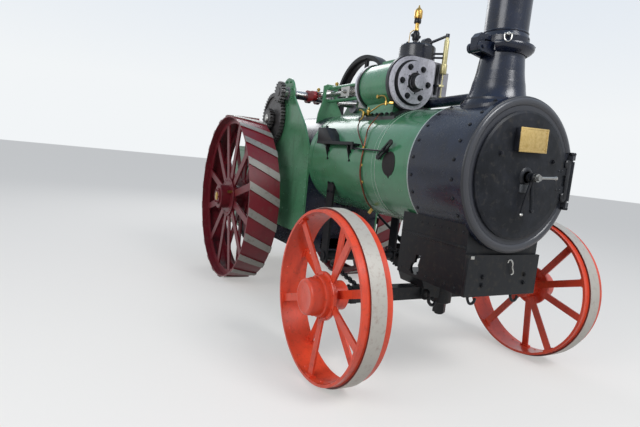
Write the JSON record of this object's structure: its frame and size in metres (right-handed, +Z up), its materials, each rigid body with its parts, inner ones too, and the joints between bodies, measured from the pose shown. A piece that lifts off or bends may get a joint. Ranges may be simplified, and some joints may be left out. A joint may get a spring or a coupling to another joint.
{
  "type": "steam traction engine",
  "caption": "Steam traction engine: boiler with smokebox and folding chimney, one cylinder, flywheel, open gearing, spoked wheels, tender and chain steering.",
  "frame": {"origin": "on the ground under the middle of the overall length and width", "axes": "+X forward, +Y to the engine's left, +Z up"},
  "size_m": [4.786, 2.28, 3.34],
  "materials": {
    "green_paint": "gloss",
    "smokebox_black": "satin",
    "black_paint": "gloss",
    "red_paint": "gloss",
    "maroon_paint": "satin",
    "grey_iron": "as cast",
    "bright_steel": "machined",
    "brass": "polished"
  },
  "bodies": {
    "engine": {"boiler_barrel": "green_paint", "firebox": "smokebox_black", "ashpan": "smokebox_black", "smokebox": "smokebox_black", "chimney_base": "smokebox_black", "hornplates": "green_paint", "shaft_bearings": "grey_iron", "perch_bracket": "black_paint", "cylinder_block": "green_paint", "cylinder_covers": "grey_iron", "valve_chest": "grey_iron", "safety_valve": "smokebox_black", "whistle": "brass", "exhaust_pipe": "smokebox_black", "side_linkage": "black_paint", "slide_bars": "green_paint", "crosshead": "bright_steel", "connecting_rod": "bright_steel", "valve_gear": "bright_steel", "steering_barrel": "black_paint", "steering_column": "black_paint", "tender": "green_paint", "water_tank": "green_paint", "footplate": "black_paint", "drawbar": "black_paint", "backhead_fittings": "brass"},
    "smokebox_door": {"smokebox_door": "smokebox_black"},
    "firehole_door": {"firehole_door": "smokebox_black"},
    "chimney": {"chimney": "smokebox_black"},
    "front_axle": {"front_axle": "black_paint"},
    "front_wheel_left": {"front_wheel_left": "red_paint"},
    "front_wheel_right": {"front_wheel_right": "red_paint"},
    "steering_chain_left": {"steering_chain_left": "black_paint"},
    "steering_chain_right": {"steering_chain_right": "black_paint"},
    "rear_axle": {"rear_axle": "bright_steel", "axle_gear": "grey_iron"},
    "rear_wheel_left": {"rear_wheel_left": "maroon_paint"},
    "rear_wheel_right": {"rear_wheel_right": "maroon_paint"},
    "crankshaft": {"crankshaft": "bright_steel", "rod_straps": "bright_steel", "flywheel": "black_paint"},
    "second_shaft": {"second_shaft": "grey_iron"},
    "third_shaft": {"third_shaft": "grey_iron"}
  },
  "joints": [
    {"name": "axle_steer", "type": "hinge", "parent": "engine", "child": "front_axle", "pos_m": [1.7, 0, 0.5715], "axis": [0, 0, 1], "range_deg": [-25, 25]},
    {"name": "front_left_roll", "type": "hinge", "parent": "front_axle", "child": "front_wheel_left", "pos_m": [1.7, 0.965, 0.5715], "axis": [0, 1, 0], "continuous": true},
    {"name": "front_right_roll", "type": "hinge", "parent": "front_axle", "child": "front_wheel_right", "pos_m": [1.7, -0.965, 0.5715], "axis": [0, 1, 0], "continuous": true},
    {"name": "chain_left_swing", "type": "hinge", "parent": "front_axle", "child": "steering_chain_left", "pos_m": [1.61, 0.56, 0.6435], "axis": [0, 0, 1], "range_deg": [-26, 26]},
    {"name": "chain_right_swing", "type": "hinge", "parent": "front_axle", "child": "steering_chain_right", "pos_m": [1.61, -0.56, 0.4995], "axis": [0, 0, 1], "range_deg": [-26, 26]},
    {"name": "rear_axle_turn", "type": "hinge", "parent": "engine", "child": "rear_axle", "pos_m": [-0.95, 0, 0.914], "axis": [0, 1, 0], "continuous": true},
    {"name": "rear_left_roll", "type": "hinge", "parent": "engine", "child": "rear_wheel_left", "pos_m": [-0.95, 0.772, 0.914], "axis": [0, 1, 0], "continuous": true},
    {"name": "rear_right_roll", "type": "hinge", "parent": "engine", "child": "rear_wheel_right", "pos_m": [-0.95, -0.772, 0.914], "axis": [0, 1, 0], "continuous": true},
    {"name": "third_shaft_turn", "type": "hinge", "parent": "engine", "child": "third_shaft", "pos_m": [-0.94721, 0, 1.51399], "axis": [0, 1, 0], "continuous": true},
    {"name": "second_shaft_turn", "type": "hinge", "parent": "engine", "child": "second_shaft", "pos_m": [-0.76729, 0, 1.83271], "axis": [0, 1, 0], "continuous": true},
    {"name": "crankshaft_turn", "type": "hinge", "parent": "engine", "child": "crankshaft", "pos_m": [-0.5, 0, 2.1], "axis": [0, 1, 0], "continuous": true},
    {"name": "smokebox_door_swing", "type": "hinge", "parent": "engine", "child": "smokebox_door", "pos_m": [2.274, 0.437, 1.46], "axis": [0, 0, 1], "range_deg": [0, 115]},
    {"name": "firehole_door_swing", "type": "hinge", "parent": "engine", "child": "firehole_door", "pos_m": [-0.676, 0.195, 1.2], "axis": [0, 0, -1], "range_deg": [0, 110]},
    {"name": "chimney_fold", "type": "hinge", "parent": "engine", "child": "chimney", "pos_m": [1.97, -0.235, 2.24], "axis": [1, 0, 0], "range_deg": [0, 90]}
  ],
  "couplings": [
    {"joint": "third_shaft_turn", "follows": "rear_axle_turn", "ratio": -5.25},
    {"joint": "second_shaft_turn", "follows": "rear_axle_turn", "ratio": 13.588},
    {"joint": "chain_left_swing", "follows": "axle_steer", "ratio": -1},
    {"joint": "chain_right_swing", "follows": "axle_steer", "ratio": -1}
  ]
}
